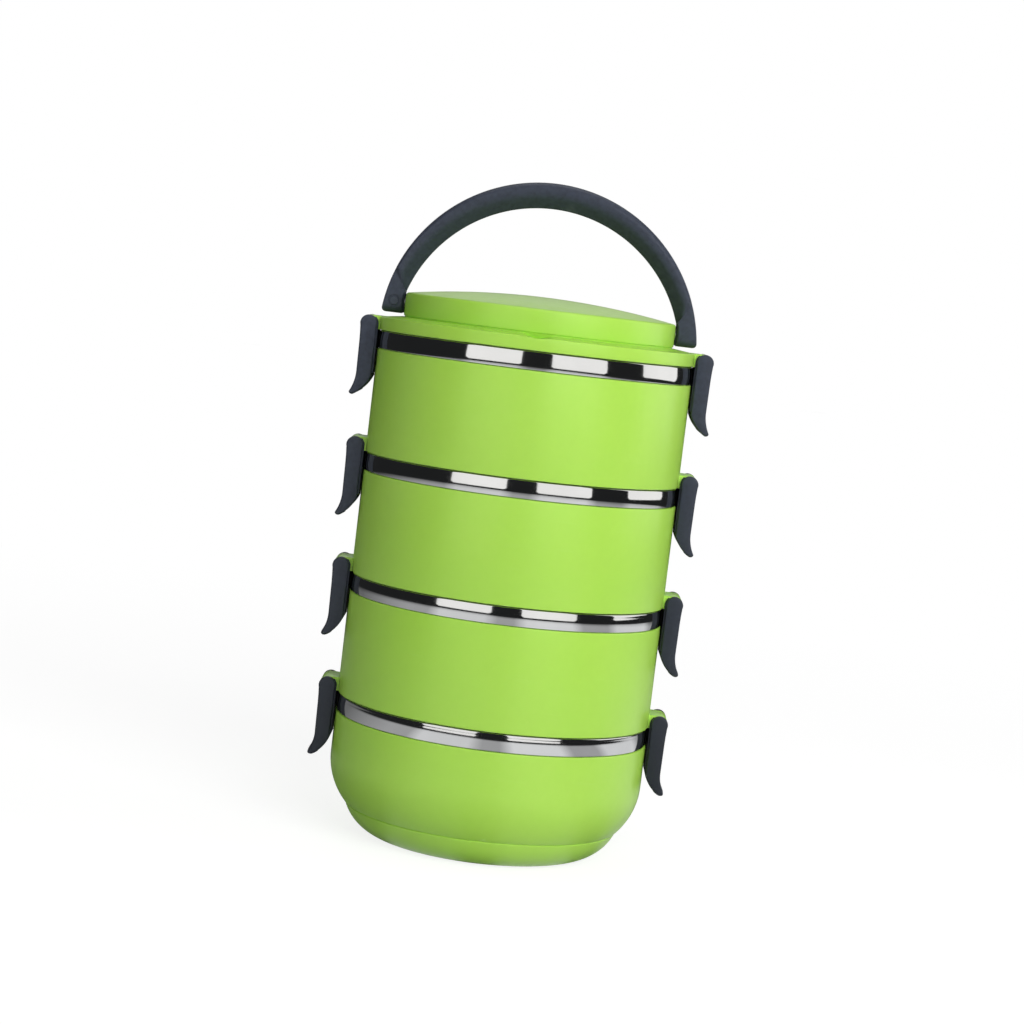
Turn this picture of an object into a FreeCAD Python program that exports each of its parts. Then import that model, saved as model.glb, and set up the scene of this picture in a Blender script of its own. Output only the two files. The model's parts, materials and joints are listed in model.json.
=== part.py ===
import FreeCAD, Part
import os
import Sketcher

# Four-tier tiffin carrier: steel bowls in plastic shells, a domed lid with a bail
# handle, and eight side latches.  Millimetres, +Z up, +X to the right.  The origin
# is at the centre of the base, on the surface that the carrier stands on.

vec = FreeCAD.Vector
doc = FreeCAD.newDocument("tiffin_carrier")
sheet = doc.addObject("Spreadsheet::Sheet", "Dims")

TIERS = 4

DIMS = {
    # stack
    "rim_first": 64.4,          # height of the bottom bowl's rim
    "tier_pitch": 56.1,         # height that each tier adds
    "joint_gap": 0.5,           # open line between a rim and the skirt above it
    # steel bowl
    "band_radius": 72.6,        # widest line of the folded-over rim
    "band_edge_radius": 72.35,  # rim radius at the band's top and bottom edges
    "band_height": 8.2,
    "band_round": 0.9,          # rounding over the top of the rim
    "sheet_thick": 0.8,
    "bowl_radius": 67.5,        # inner wall of the bowl
    "bowl_straight": 24.5,      # depth of the straight wall under the rim
    "bowl_corner": 31.2,        # inner radius of the bowl's deep corner
    # plastic shells
    "shell_radius": 72.8,
    "shell_inner": 69.8,
    "lip_outer": 71.3,          # lip that the folded rim hangs over
    "band_clear": 0.2,          # shadow line under the band
    "edge_round": 0.5,
    "plug_radius": 66.7,        # plug that drops into the bowl below
    "plug_inner": 64.5,
    "plug_depth": 6.0,
    "plug_round": 1.5,
    "floor_thick": 2.0,
    "web_thick": 2.2,
    "seal_seat": 1.9,           # ceiling of the seal's seat above the rim below
    "seat_outer": 71.0,
    # bottom shell
    "corner_start": 35.8,       # height where the wall starts to curve in
    "corner_round": 31.5,
    "crease_height": 15.8,
    "crease_step": 0.5,
    "foot_mid_radius": 57.9,    # point on the curved foot
    "foot_mid_height": 6.2,
    "foot_radius": 44.5,        # outer edge of the ring that it stands on
    "foot_inner": 39.5,
    "foot_recess": 1.6,
    "base_inner_round": 30.0,   # inner corner of the bottom shell
    "base_thick": 2.4,
    # seals
    "seal_inner": 67.1,
    "seal_outer": 70.8,
    "seal_clear": 0.1,          # the seal's lip stays this far over the rim
    "seal_groove": 0.5,
    # lid
    "lid_radius": 72.9,
    "flange_top": 6.1,          # outer top edge above the joint
    "flange_round": 0.9,
    "disc_foot": 7.4,           # foot of the raised disc above the joint
    "disc_radius": 62.5,
    "disc_edge": 18.3,          # height of the disc's edge above the joint
    "disc_round": 1.6,
    "dome_mid_rise": 4.05,       # rise from the disc's edge, half way in
    "dome_rise": 5.4,
    "lid_wall": 2.4,
    "scoop_width": 15.0,
    "scoop_depth": 2.0,
    "scoop_start": 62.3,        # scoop runs outward from here
    "scoop_reach": 6.4,
    # latches and their ears
    "latch_pivot_out": 77.45,    # pivot distance from the axis
    "latch_pivot_up": 2.5,      # pivot above the joint
    "ear_width": 18.0,
    "ear_round": 3.9,
    "ear_root": 71.0,
    "ear_top": 3.85,             # top of the ear above the pivot
    "ear_base": 2.4,            # underside of the ear below the pivot
    "latch_width": 25.0,
    "latch_round": 3.95,
    "latch_back": 3.75,          # back face, inward of the pivot
    "latch_face": 3.8,          # front face, outward of the pivot
    "latch_bend": 20.0,         # depth where the front face starts to flare
    "latch_heel": 24.0,         # depth where the back face starts to flare
    "latch_length": 33.2,       # pivot to the tip's lowest line
    "latch_tip": 5.95,           # reach of the tip outward of the pivot
    "latch_edge": 0.7,
    "window_half": 9.3,         # half width of the latch's hinge window
    "window_round": 4.05,
    "window_sill": 2.8,
    "catch_depth": 0.7,         # recess that the band sits opposite
    "catch_end": 11.4,
    "latch_pin_round": 1.1,
    "latch_pin_length": 22.0,
    "pin_clear": 0.05,
    "pin_end_clear": 0.3,
    # handle
    "handle_pivot_up": 14.1,    # pivot above the lid's joint
    "grip_radius": 73.3,        # outer arc
    "grip_centre_up": 2.5,
    "palm_radius": 65.9,        # inner arc
    "palm_centre_down": 1.7,
    "end_half": 5.2,            # half width of the flat ends
    "grip_half": 7.0,           # half width of the grip
    "end_inner": 63.4,
    "end_down": 5.5,            # ends reach this far below the pivot
    "end_round": 2.0,           # lower outer corner of each end
    "foot_round": 3.4,          # lower front and back corners, clear of the flange
    "grip_start_inner": 4.8,    # where the grip starts, above the pivot
    "grip_start_outer": 15.0,
    "bevel": 5.4,
    "bevel_angle": 152.0,
    "crown_angle": 150.0,
    "grip_round": 2.4,
    "bore_pin_round": 2.0,
    "stud_tip": 70.6,
    "stud_root": 59.8,
    "collar_start": 62.6,
    "collar_end": 63.1,
    "collar_round": 2.6,
    "mark_out": 68.0,           # round dimple in the left end
    "mark_round": 3.1,
    "mark_depth": 0.5,
}

for row, (alias, number) in enumerate(DIMS.items(), start=1):
    cell = "A%d" % row
    sheet.set(cell, str(number))
    sheet.setAlias(cell, alias)
doc.recompute()


def dims(text):
    """Turn words such as {shell_radius} into references to the sheet."""
    return text.replace("{", "Dims.").replace("}", "")


def size(text):
    """The value of an expression in the sheet's words."""
    value = sheet.evalExpression(dims(text).replace("Dims.", ""))
    return float(getattr(value, "Value", value))


def new_body(label):
    body = doc.addObject("PartDesign::Body", label)
    body.Label = label
    return body


def origin_item(body, role):
    return [item for item in body.Origin.OriginFeatures if item.Role == role][0]


def new_sketch(body, name, role, offset=None):
    """A sketch on one of the body's own origin planes."""
    sketch = body.newObject("Sketcher::SketchObject", name)
    sketch.AttachmentSupport = [(origin_item(body, role), "")]
    sketch.MapMode = "FlatFace"
    if offset:
        sketch.setExpression("AttachmentOffset.Base.z", dims(offset))
    return sketch


def pin_point(sketch, geometry, end, point):
    """Fix one point of a sketch to a pair of expressions."""
    for kind, text in zip(("DistanceX", "DistanceY"), point):
        number = sketch.addConstraint(
            Sketcher.Constraint(kind, -1, 1, geometry, end, size(text)))
        sketch.setExpression("Constraints[%d]" % number, dims(text))


def outline(sketch, corners):
    """Closed outline.  A corner is (x, y), or (x, y, mid_x, mid_y) where an arc
    runs from it through the middle point to the next corner."""
    count = len(corners)
    spots = [vec(size(corner[0]), size(corner[1]), 0) for corner in corners]
    first = sketch.GeometryCount
    arcs = []
    for index, corner in enumerate(corners):
        start = spots[index]
        end = spots[(index + 1) % count]
        if len(corner) == 4:
            middle = vec(size(corner[2]), size(corner[3]), 0)
            side = (middle - start).cross(end - middle).z
            sketch.addGeometry(Part.Arc(start, middle, end), False)
            arcs.append((first + index, corner, side > 0))
        else:
            sketch.addGeometry(Part.LineSegment(start, end), False)
    forward = {number: counter for number, _, counter in arcs}
    for index in range(count):
        here = first + index
        after = first + (index + 1) % count
        leave = 2 if forward.get(here, True) else 1
        enter = 1 if forward.get(after, True) else 2
        sketch.addConstraint(Sketcher.Constraint("Coincident", here, leave, after, enter))
    for index, corner in enumerate(corners):
        here = first + index
        enter = 1 if forward.get(here, True) else 2
        pin_point(sketch, here, enter, corner[:2])
    for number, corner, _ in arcs:
        dot = sketch.addGeometry(Part.Point(vec(size(corner[2]), size(corner[3]), 0)), True)
        pin_point(sketch, dot, 1, corner[2:])
        sketch.addConstraint(Sketcher.Constraint("PointOnObject", dot, 1, number))


def circle(sketch, centre, radius):
    """A full circle whose centre and radius come from the sheet."""
    spot = vec(size(centre[0]), size(centre[1]), 0)
    number = sketch.addGeometry(Part.Circle(spot, vec(0, 0, 1), size(radius)), False)
    pin_point(sketch, number, 3, centre)
    rule = sketch.addConstraint(Sketcher.Constraint("Radius", number, size(radius)))
    sketch.setExpression("Constraints[%d]" % rule, dims(radius))


def revolve(body, name, corners):
    """Turned solid: the outline is (radius, height) about the vertical axis."""
    sketch = new_sketch(body, name + "_profile", "XZ_Plane")
    outline(sketch, corners)
    turned = body.newObject("PartDesign::Revolution", name)
    turned.Profile = sketch
    turned.ReferenceAxis = (sketch, ["V_Axis"])
    turned.Angle = 360
    return turned


def extrude(body, name, sketch, length, cut=False, middle=True, reverse=False):
    """Pad or pocket, by default to both sides of the sketch."""
    kind = "PartDesign::Pocket" if cut else "PartDesign::Pad"
    feature = body.newObject(kind, name)
    feature.Profile = sketch
    feature.setExpression("Length", dims(length))
    feature.Midplane = middle
    feature.Reversed = reverse
    return feature


def edge_names(shape, test):
    """Names of the edges that pass a test."""
    return ["Edge%d" % number for number, edge in enumerate(shape.Edges, start=1) if test(edge)]


def round_edges(body, name, radius, test):
    """Fillet the edges of the body's last feature that pass a test."""
    doc.recompute()
    base = body.Tip
    feature = body.newObject("PartDesign::Fillet", name)
    feature.Base = (base, edge_names(base.Shape, test))
    feature.setExpression("Radius", dims(radius))
    return feature


def circle_of(edge):
    """The edge's circle, or None where the edge is no arc."""
    if edge.Degenerated or not isinstance(edge.Curve, Part.Circle):
        return None
    return edge.Curve


def ring_at(radius, height):
    """Test for a circular edge about the vertical axis."""
    def test(edge):
        curve = circle_of(edge)
        if curve is None:
            return False
        return abs(curve.Radius - size(radius)) < 0.01 and abs(curve.Center.z - size(height)) < 0.01
    return test


def add_ears(body, joint):
    """Two hinge ears with a cross bore, at +X and -X; joint is the joint's height."""
    for side, sign in (("right", ""), ("left", "-")):
        sketch = new_sketch(body, "ear_%s_profile" % side, "XZ_Plane")
        top = "%s + {latch_pivot_up} + {ear_top}" % joint
        base = "%s + {latch_pivot_up} - {ear_base}" % joint
        low_x = "%s({latch_pivot_out} - sqrt({ear_round}^2 - {ear_base}^2))" % sign
        high_x = "%s({latch_pivot_out} + sqrt({ear_round}^2 - {ear_top}^2))" % sign
        outline(sketch, [
            ("%s{ear_root}" % sign, base),
            (low_x, base, "%s({latch_pivot_out} + {ear_round})" % sign,
             "%s + {latch_pivot_up}" % joint),
            (high_x, top),
            ("%s{ear_root}" % sign, top),
        ])
        extrude(body, "ear_%s" % side, sketch, "{ear_width}")
        hole = new_sketch(body, "ear_%s_bore_profile" % side, "XZ_Plane")
        circle(hole, ("%s{latch_pivot_out}" % sign, "%s + {latch_pivot_up}" % joint),
               "{latch_pin_round} + {pin_clear}")
        extrude(body, "ear_%s_bore" % side, hole, "{ear_width} + 2", cut=True)


def steel_bowl(label):
    """Pressed bowl whose rim folds out and down into the polished band.
    Height zero is the top of the rim."""
    body = new_body(label)
    bend = "{bowl_corner} * (1 - sqrt(0.5))"
    skin = "{bowl_corner} + {sheet_thick}"
    skin_bend = "({bowl_corner} + {sheet_thick}) * (1 - sqrt(0.5))"
    wall = "{bowl_radius} + {sheet_thick}"
    depth = "{bowl_straight} + {bowl_corner}"
    revolve(body, "pressing", [
        ("0", "-({bowl_straight} + {bowl_corner})"),
        ("{bowl_radius} - {bowl_corner}", "-(%s)" % depth,
         "{bowl_radius} - %s" % bend, "-(%s) + %s" % (depth, bend)),
        ("{bowl_radius}", "-{bowl_straight}"),
        ("{bowl_radius}", "-{band_round}", "{bowl_radius} + {band_round} * (1 - sqrt(0.5))",
         "-{band_round} * (1 - sqrt(0.5))"),
        ("{bowl_radius} + {band_round}", "0"),
        ("{band_edge_radius} - {band_round}", "0",
         "{band_edge_radius} - {band_round} * (1 - sqrt(0.5))", "-{band_round} * (1 - sqrt(0.5))"),
        ("{band_edge_radius}", "-{band_round}", "{band_radius}", "-{band_height} / 2"),
        ("{band_edge_radius}", "-{band_height}"),
        ("{band_edge_radius} - {sheet_thick}", "-{band_height}"),
        ("{band_edge_radius} - {sheet_thick}", "-{sheet_thick}"),
        (wall, "-{sheet_thick}"),
        (wall, "-{bowl_straight}", "%s - %s" % (wall, skin_bend),
         "-{bowl_straight} - (%s) + %s" % (skin, skin_bend)),
        ("{bowl_radius} - {bowl_corner}", "-{bowl_straight} - (%s)" % skin),
        ("0", "-{bowl_straight} - (%s)" % skin),
    ])
    return body


def lip_corners():
    """Outer top of every shell, from the wall up and over the lip to its inner side."""
    ledge = "-({band_height} + {band_clear})"
    return [
        ("{shell_radius}", ledge),
        ("{lip_outer}", ledge),
        ("{lip_outer}", "-{sheet_thick}"),
        ("{shell_inner}", "-{sheet_thick}"),
    ]


def bottom_shell(label):
    """Lowest shell: straight wall, rounded corner, crease and foot.
    Height zero is the top of the rim."""
    body = new_body(label)
    centre_x = "{shell_radius} - {corner_round}"
    drop = "({corner_start} - {crease_height})"
    crease_x = "%s + sqrt({corner_round}^2 - %s^2)" % (centre_x, drop)
    half_x = "%s + sqrt({corner_round}^2 - %s^2 / 4)" % (centre_x, drop)
    floor = "({foot_recess} + {base_thick})"
    bend = "{base_inner_round} * (1 - sqrt(0.5))"
    base = "-{rim_first}"
    revolve(body, "moulding", [
        ("0", "%s + {foot_recess}" % base),
        ("{foot_inner} - {foot_recess}", "%s + {foot_recess}" % base),
        ("{foot_inner}", base),
        ("{foot_radius}", base, "{foot_mid_radius}", "%s + {foot_mid_height}" % base),
        (crease_x + " - {crease_step}", "%s + {crease_height}" % base),
        (crease_x, "%s + {crease_height}" % base,
         half_x, "%s + ({corner_start} + {crease_height}) / 2" % base),
        ("{shell_radius}", "%s + {corner_start}" % base),
    ] + lip_corners() + [
        ("{shell_inner}", "%s + %s + {base_inner_round}" % (base, floor),
         "{shell_inner} - %s" % bend, "%s + %s + %s" % (base, floor, bend)),
        ("{shell_inner} - {base_inner_round}", "%s + %s" % (base, floor)),
        ("0", "%s + %s" % (base, floor)),
    ])
    round_edges(body, "lip_edge", "{edge_round}",
                ring_at("{shell_radius}", "-({band_height} + {band_clear})"))
    return body


def skirt_corners(joint):
    """Underside shared by the upper shells and the lid, from the plug's foot out to the
    skirt's lower inner edge."""
    return [
        ("{plug_radius}", "%s - {plug_depth}" % joint),
        ("{plug_radius}", "%s + {seal_seat}" % joint),
        ("{seat_outer}", "%s + {seal_seat}" % joint),
        ("{seat_outer}", "%s + {joint_gap}" % joint),
    ]


def upper_shell(label):
    """Shell of tiers two to four: wall, closed floor, and a plug that drops into the bowl
    below.  Height zero is the top of its own rim."""
    body = new_body(label)
    joint = "-{tier_pitch}"
    revolve(body, "moulding", [
        ("0", "%s - {plug_depth}" % joint),
    ] + skirt_corners(joint) + [
        ("{shell_radius}", "%s + {joint_gap}" % joint),
    ] + lip_corners() + [
        ("{shell_inner}", "%s + {seal_seat} + {web_thick}" % joint),
        ("{plug_inner}", "%s + {seal_seat} + {web_thick}" % joint),
        ("{plug_inner}", "%s - {plug_depth} + {floor_thick}" % joint),
        ("0", "%s - {plug_depth} + {floor_thick}" % joint),
    ])
    round_edges(body, "lip_edge", "{edge_round}",
                ring_at("{shell_radius}", "-({band_height} + {band_clear})"))
    round_edges(body, "skirt_edge", "{edge_round}",
                ring_at("{shell_radius}", "%s + {joint_gap}" % joint))
    round_edges(body, "plug_edge", "{plug_round}",
                ring_at("{plug_radius}", "%s - {plug_depth}" % joint))
    add_ears(body, joint)
    return body


def lid_shell(label):
    """Lid: flange, raised disc with a shallow dome, hollow plug, ears and a finger scoop.
    Height zero is the top of the rim below."""
    body = new_body(label)
    inner_disc = "({disc_radius} - {lid_wall})"
    revolve(body, "moulding", [
        ("{plug_inner}", "-{plug_depth}"),
    ] + skirt_corners("0") + [
        ("{lid_radius}", "{joint_gap}"),
        ("{lid_radius}", "{flange_top}"),
        ("{disc_radius}", "{disc_foot}"),
        ("{disc_radius}", "{disc_edge}", "{disc_radius} / 2", "{disc_edge} + {dome_mid_rise}"),
        ("0", "{disc_edge} + {dome_rise}"),
        ("0", "{disc_edge} + {dome_rise} - {lid_wall}",
         "%s / 2" % inner_disc, "{disc_edge} + {dome_mid_rise} - {lid_wall}"),
        (inner_disc, "{disc_edge} - {lid_wall}"),
        (inner_disc, "{disc_foot} - {lid_wall}"),
        ("{plug_inner}", "{disc_foot} - {lid_wall}"),
    ])
    round_edges(body, "disc_round_over", "{disc_round}", ring_at("{disc_radius}", "{disc_edge}"))
    round_edges(body, "flange_round_over", "{flange_round}", ring_at("{lid_radius}", "{flange_top}"))
    round_edges(body, "skirt_edge", "{edge_round}", ring_at("{lid_radius}", "{joint_gap}"))
    add_ears(body, "0")

    scoop = new_sketch(body, "scoop_profile", "XZ_Plane", "{scoop_start}")
    outline(scoop, [
        ("-{scoop_width} / 2", "{disc_foot}", "0", "{disc_foot} - {scoop_depth}"),
        ("{scoop_width} / 2", "{disc_foot}"),
    ])
    extrude(body, "scoop", scoop, "{scoop_reach}", cut=True, middle=False, reverse=True)

    bore = new_sketch(body, "stud_bore_profile", "YZ_Plane")
    circle(bore, ("0", "{handle_pivot_up}"), "{bore_pin_round} + 0.02")
    extrude(body, "stud_bore", bore, "2 * {disc_radius} + 2", cut=True)
    return body


def seal(label):
    """Silicone ring in the seat above a rim, with two pressing lips.
    Height zero is the top of the rim below."""
    body = new_body(label)
    middle = "({seal_inner} + {seal_outer}) / 2"
    revolve(body, "ring", [
        ("{seal_inner}", "{seal_clear}"),
        ("%s - {seal_groove}" % middle, "{seal_clear}"),
        (middle, "{seal_clear} + {seal_groove}"),
        ("%s + {seal_groove}" % middle, "{seal_clear}"),
        ("{seal_outer}", "{seal_clear}"),
        ("{seal_outer}", "{seal_seat}"),
        ("{seal_inner}", "{seal_seat}"),
    ])
    return body


def latch(label):
    """Side latch.  Its pivot is the local origin and its front faces +X."""
    body = new_body(label)
    profile = new_sketch(body, "side_profile", "XZ_Plane")
    outline(profile, [
        ("{latch_face}", "-sqrt({latch_round}^2 - {latch_face}^2)",
         "0", "{latch_round}"),
        ("-{latch_back}", "-sqrt({latch_round}^2 - {latch_back}^2)"),
        ("-{latch_back}", "-{latch_heel}", "-{latch_back} + 3.15", "-{latch_heel} - 5.3"),
        ("{latch_tip} - 1.75", "-{latch_length}", "{latch_tip} - 0.5", "-{latch_length} + 0.2"),
        ("{latch_tip}", "-{latch_length} + 1.2", "{latch_face} + 0.4", "-{latch_bend} - 7.5"),
        ("{latch_face} - 0.3", "-{latch_bend}"),
    ])
    extrude(body, "blank", profile, "{latch_width}")

    def cheek_outline(edge):
        flat = edge.BoundBox.YLength < 0.01
        return flat and abs(abs(edge.CenterOfMass.y) - size("{latch_width} / 2")) < 0.01
    round_edges(body, "cheek_edges", "{latch_edge}", cheek_outline)
    window = new_sketch(body, "window_profile", "XZ_Plane")
    sill_x = "sqrt({window_round}^2 - {window_sill}^2)"
    outline(window, [
        ("-2 * {latch_round}", "-{window_sill}"),
        ("-%s" % sill_x, "-{window_sill}", "0", "-{window_round}"),
        (sill_x, "-{window_sill}"),
        ("2 * {latch_round}", "-{window_sill}"),
        ("2 * {latch_round}", "2 * {latch_round}"),
        ("-2 * {latch_round}", "2 * {latch_round}"),
    ])
    extrude(body, "window", window, "2 * {window_half}", cut=True)
    catch = new_sketch(body, "catch_profile", "XZ_Plane")
    outline(catch, [
        ("-2 * {latch_back}", "-{catch_end}"),
        ("-{latch_back} + {catch_depth}", "-{catch_end}"),
        ("-{latch_back} + {catch_depth}", "-{window_sill} + 1"),
        ("-2 * {latch_back}", "-{window_sill} + 1"),
    ])
    extrude(body, "catch", catch, "2 * {window_half}", cut=True)
    bore = new_sketch(body, "bore_profile", "XZ_Plane")
    circle(bore, ("0", "0"), "{latch_pin_round} + {pin_clear}")
    extrude(body, "bore", bore, "{latch_pin_length} + 2 * {pin_end_clear}", cut=True)
    return body


def latch_pin(label):
    """Steel hinge pin of a latch, along Y about the local origin."""
    body = new_body(label)
    section = new_sketch(body, "section", "XZ_Plane")
    circle(section, ("0", "0"), "{latch_pin_round}")
    extrude(body, "rod", section, "{latch_pin_length}")
    return body


def arch_cut(body, name, centre, angle, corners):
    """Cut swept along the arch: the profile is (depth, height) at the crown, turned
    about an axis along Y at the height centre."""
    profile = new_sketch(body, name + "_profile", "YZ_Plane")
    outline(profile, corners)
    spine = profile.addGeometry(Part.LineSegment(
        vec(-1, size(centre), 0), vec(1, size(centre), 0)), True)
    pin_point(profile, spine, 1, ("-1", centre))
    pin_point(profile, spine, 2, ("1", centre))
    cut = body.newObject("PartDesign::Groove", name)
    cut.Profile = profile
    cut.ReferenceAxis = (profile, [axis_name(profile, spine)])
    cut.setExpression("Angle", dims(angle))
    cut.Midplane = True


def axis_name(sketch, line):
    """Name of a construction line as an axis of its sketch."""
    lines = [number for number in range(line + 1)
             if sketch.getConstruction(number) and isinstance(sketch.Geometry[number], Part.LineSegment)]
    return "Axis%d" % lines.index(line)


def handle(label):
    """Bail handle, upright.  Height zero is the top of the rim below the lid."""
    body = new_body(label)
    pivot = "{handle_pivot_up}"
    foot = "(%s - {end_down})" % pivot
    foot_out = "sqrt({grip_radius}^2 - (%s - {grip_centre_up})^2)" % foot
    palm_drop = "sqrt({palm_radius}^2 - {end_inner}^2)"
    arch = new_sketch(body, "arch_profile", "XZ_Plane")
    outline(arch, [
        (foot_out, foot, "0", "{grip_centre_up} + {grip_radius}"),
        ("-" + foot_out, foot),
        ("-{end_inner}", foot),
        ("-{end_inner}", "-{palm_centre_down} + %s" % palm_drop,
         "0", "-{palm_centre_down} + {palm_radius}"),
        ("{end_inner}", "-{palm_centre_down} + %s" % palm_drop),
        ("{end_inner}", foot),
    ])
    extrude(body, "arch", arch, "2 * {end_half}")

    high = "(%s + {grip_start_outer})" % pivot
    low = "(%s + {grip_start_inner})" % pivot
    high_x = "sqrt({grip_radius}^2 - (%s - {grip_centre_up})^2)" % high
    low_x = "sqrt({palm_radius}^2 - (%s + {palm_centre_down})^2)" % low
    grip = new_sketch(body, "grip_profile", "XZ_Plane")
    outline(grip, [
        (high_x, high, "0", "{grip_centre_up} + {grip_radius}"),
        ("-" + high_x, high),
        ("-" + low_x, low, "0", "-{palm_centre_down} + {palm_radius}"),
        (low_x, low),
    ])
    extrude(body, "grip", grip, "2 * {grip_half}")

    bore = new_sketch(body, "bore_profile", "YZ_Plane")
    circle(bore, ("0", pivot), "{bore_pin_round} + {pin_clear}")
    extrude(body, "bore", bore, "2 * {stud_tip} + 0.6", cut=True)

    palm = "{palm_radius} - {palm_centre_down}"
    crown = "{grip_radius} + {grip_centre_up}"
    inset = "{grip_round} * (1 - sqrt(0.5))"
    for side, sign in (("back", ""), ("front", "-")):
        arch_cut(body, "palm_bevel_" + side, "-{palm_centre_down}", "{bevel_angle}", [
            (sign + "({grip_half} - {bevel})", palm + " - 1"),
            (sign + "({grip_half} - {bevel})", palm),
            (sign + "({grip_half} + 0.5)", palm + " + {bevel} + 0.5"),
            (sign + "({grip_half} + 0.5)", palm + " - 1"),
        ])
        arch_cut(body, "crown_rounding_" + side, "{grip_centre_up}", "{crown_angle}", [
            (sign + "({grip_half} - {grip_round})", crown + " + 1"),
            (sign + "({grip_half} - {grip_round})", crown,
             sign + "({grip_half} - %s)" % inset, crown + " - " + inset),
            (sign + "{grip_half}", crown + " - {grip_round}"),
            (sign + "({grip_half} + 0.5)", crown + " - {grip_round}"),
            (sign + "({grip_half} + 0.5)", crown + " + 1"),
        ])

    def foot_corner(edge):
        spot = edge.CenterOfMass
        low_edge = abs(spot.z - size(foot)) < 0.01
        return low_edge and abs(abs(spot.x) - size(foot_out)) < 0.01
    round_edges(body, "end_rounding", "{end_round}", foot_corner)

    turn = "{foot_round} * (1 - sqrt(0.5))"
    for side, sign in (("back", ""), ("front", "-")):
        corner = new_sketch(body, "foot_%s_profile" % side, "YZ_Plane")
        outline(corner, [
            (sign + "{end_half}", foot + " + {foot_round}",
             sign + "({end_half} - %s)" % turn, foot + " + " + turn),
            (sign + "({end_half} - {foot_round})", foot),
            (sign + "({end_half} - {foot_round})", foot + " - 1"),
            (sign + "({end_half} + 1)", foot + " - 1"),
            (sign + "({end_half} + 1)", foot + " + {foot_round}"),
        ])
        extrude(body, "foot_rounding_" + side, corner, "2 * {grip_radius} + 4", cut=True)

    mark = new_sketch(body, "dimple_profile", "XZ_Plane", "{end_half} - {mark_depth}")
    circle(mark, ("-{mark_out}", pivot), "{mark_round}")
    extrude(body, "dimple", mark, "1 + {mark_depth}", cut=True, middle=False, reverse=True)
    return body


def handle_pin(label, sign):
    """Stud that holds one end of the handle: it is set in the disc's wall, and a collar
    keeps the handle off the disc.  Height zero is the top of the rim below the lid."""
    body = new_body(label)
    section = new_sketch(body, "section", "XY_Plane", "{handle_pivot_up}")
    outline(section, [
        (sign + "{stud_root}", "0"),
        (sign + "{stud_tip}", "0"),
        (sign + "{stud_tip}", "{bore_pin_round}"),
        (sign + "{collar_end}", "{bore_pin_round}"),
        (sign + "{collar_end}", "{collar_round}"),
        (sign + "{collar_start}", "{collar_round}"),
        (sign + "{collar_start}", "{bore_pin_round}"),
        (sign + "{stud_root}", "{bore_pin_round}"),
    ])
    turned = body.newObject("PartDesign::Revolution", "stud")
    turned.Profile = section
    turned.ReferenceAxis = (section, ["H_Axis"])
    turned.Angle = 360
    return body


def place(body, height, out=0.0, turn=0.0):
    """Move a body up to its tier, out along X, and turn it about the vertical axis."""
    spin = FreeCAD.Rotation(vec(0, 0, 1), turn)
    body.Placement = FreeCAD.Placement(spin.multVec(vec(out, 0, 0)) + vec(0, 0, height), spin)
    return body


def rim_height(tier):
    return size("{rim_first} + %d * {tier_pitch}" % (tier - 1))


pieces = []
for tier in range(1, TIERS + 1):
    rim = rim_height(tier)
    shell = bottom_shell if tier == 1 else upper_shell
    pieces.append(place(shell("bowl_shell_%d" % tier), rim))
    pieces.append(place(steel_bowl("steel_bowl_%d" % tier), rim))
    ring_name = "lid_seal" if tier == TIERS else "tier_seal_%d" % (tier + 1)
    pieces.append(place(seal(ring_name), rim))
    pivot_out = size("{latch_pivot_out}")
    pivot_height = rim + size("{latch_pivot_up}")
    for side, turn in (("right", 0.0), ("left", 180.0)):
        pieces.append(place(latch("latch_%s_%d" % (side, tier)), pivot_height, pivot_out, turn))
        pieces.append(place(latch_pin("latch_pin_%s_%d" % (side, tier)), pivot_height, pivot_out, turn))

top = rim_height(TIERS)
pieces.append(place(lid_shell("lid_shell"), top))
pieces.append(place(handle("handle"), top))
for side, sign in (("right", ""), ("left", "-")):
    pieces.append(place(handle_pin("handle_pin_%s" % side, sign), top))

doc.recompute()

for item in doc.Objects:
    if "Invalid" in item.State or "Error" in item.State:
        raise RuntimeError("%s failed: %s" % (item.Name, item.State))

os.makedirs("parts", exist_ok=True)
for piece in pieces:
    shape = piece.Shape
    if shape.isNull() or not shape.isValid() or len(shape.Solids) != 1:
        raise RuntimeError("%s has no good solid" % piece.Label)
    shape.exportStep(os.path.join("parts", piece.Label + ".step"))
    print("%-22s %10.1f mm3" % (piece.Label, shape.Volume))
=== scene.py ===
import json
import math

import bmesh
import bpy
from mathutils import Matrix, Vector


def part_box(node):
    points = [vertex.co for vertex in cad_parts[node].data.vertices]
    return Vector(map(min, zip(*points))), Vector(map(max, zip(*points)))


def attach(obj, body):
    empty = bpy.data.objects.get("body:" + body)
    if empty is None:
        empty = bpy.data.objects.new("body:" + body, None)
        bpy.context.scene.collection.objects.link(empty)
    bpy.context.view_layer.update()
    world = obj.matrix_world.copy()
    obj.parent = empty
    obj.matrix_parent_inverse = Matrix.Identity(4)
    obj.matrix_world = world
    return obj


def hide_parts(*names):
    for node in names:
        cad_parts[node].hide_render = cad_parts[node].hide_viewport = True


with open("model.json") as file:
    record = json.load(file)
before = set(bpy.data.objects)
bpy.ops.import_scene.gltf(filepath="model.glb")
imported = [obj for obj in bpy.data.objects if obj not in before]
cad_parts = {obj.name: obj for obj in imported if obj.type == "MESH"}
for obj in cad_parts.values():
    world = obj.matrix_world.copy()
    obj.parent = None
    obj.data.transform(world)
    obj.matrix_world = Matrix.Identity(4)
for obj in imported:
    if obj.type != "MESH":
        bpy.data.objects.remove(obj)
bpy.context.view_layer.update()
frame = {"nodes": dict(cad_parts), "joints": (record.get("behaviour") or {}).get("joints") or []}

MM = 0.001
TIERS = 4
SIDES = ("right", "left")


# ---------------------------------------------------------------- camera

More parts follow.
